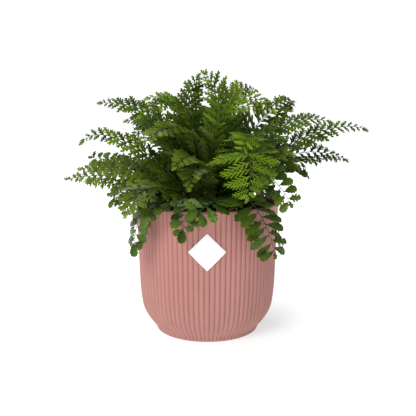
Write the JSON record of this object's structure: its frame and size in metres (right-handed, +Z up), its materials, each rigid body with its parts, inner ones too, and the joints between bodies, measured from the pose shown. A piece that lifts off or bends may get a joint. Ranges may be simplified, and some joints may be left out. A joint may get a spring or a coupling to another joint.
{
  "type": "potted parvati mother fern",
  "caption": "Bushy fern of arching fronds with cut leaflets, standing in soil in a round ribbed plastic pot with a blank diamond label.",
  "frame": {"origin": "centre of the flat underside of the pot, on the ground", "axes": "+Z up along the pot's axis, -Y towards the label, +X to the right seen from the label's side"},
  "size_m": [0.2883, 0.2037, 0.2511],
  "materials": {
    "pot_plastic": "satin dusty pink plastic, moulded in upright ribs",
    "label_card": "smooth white card",
    "potting_soil": "loose dark brown potting soil with fibres",
    "leaf_broad": "glossy dark green leaf, toothed oval leaflets",
    "leaf_cut": "satin mid green leaf, leaflets cut in fingers",
    "leaf_fine": "satin bright green leaf, narrow leaflets"
  },
  "bodies": {
    "root": {"pot": "pot_plastic", "label": "label_card", "soil": "potting_soil", "frond_01": "leaf_broad", "frond_02": "leaf_broad", "frond_03": "leaf_broad", "frond_04": "leaf_broad", "frond_05": "leaf_broad", "frond_06": "leaf_broad", "frond_07": "leaf_broad", "frond_08": "leaf_broad", "frond_09": "leaf_broad", "frond_10": "leaf_broad", "frond_11": "leaf_cut", "frond_12": "leaf_cut", "frond_13": "leaf_cut", "frond_14": "leaf_broad", "frond_15": "leaf_fine", "frond_16": "leaf_fine", "frond_17": "leaf_cut", "frond_18": "leaf_broad", "frond_19": "leaf_cut", "frond_20": "leaf_cut", "frond_21": "leaf_fine", "frond_22": "leaf_fine", "frond_23": "leaf_fine", "frond_24": "leaf_fine", "frond_25": "leaf_fine", "frond_26": "leaf_fine", "frond_27": "leaf_fine", "frond_28": "leaf_fine", "frond_29": "leaf_fine", "frond_30": "leaf_cut", "frond_31": "leaf_fine", "frond_32": "leaf_fine", "frond_33": "leaf_fine", "frond_34": "leaf_fine", "frond_35": "leaf_cut", "frond_36": "leaf_fine", "frond_37": "leaf_fine", "frond_38": "leaf_fine", "frond_39": "leaf_fine", "frond_40": "leaf_fine", "frond_41": "leaf_fine", "frond_42": "leaf_cut", "frond_43": "leaf_broad"}
  },
  "joints": []
}
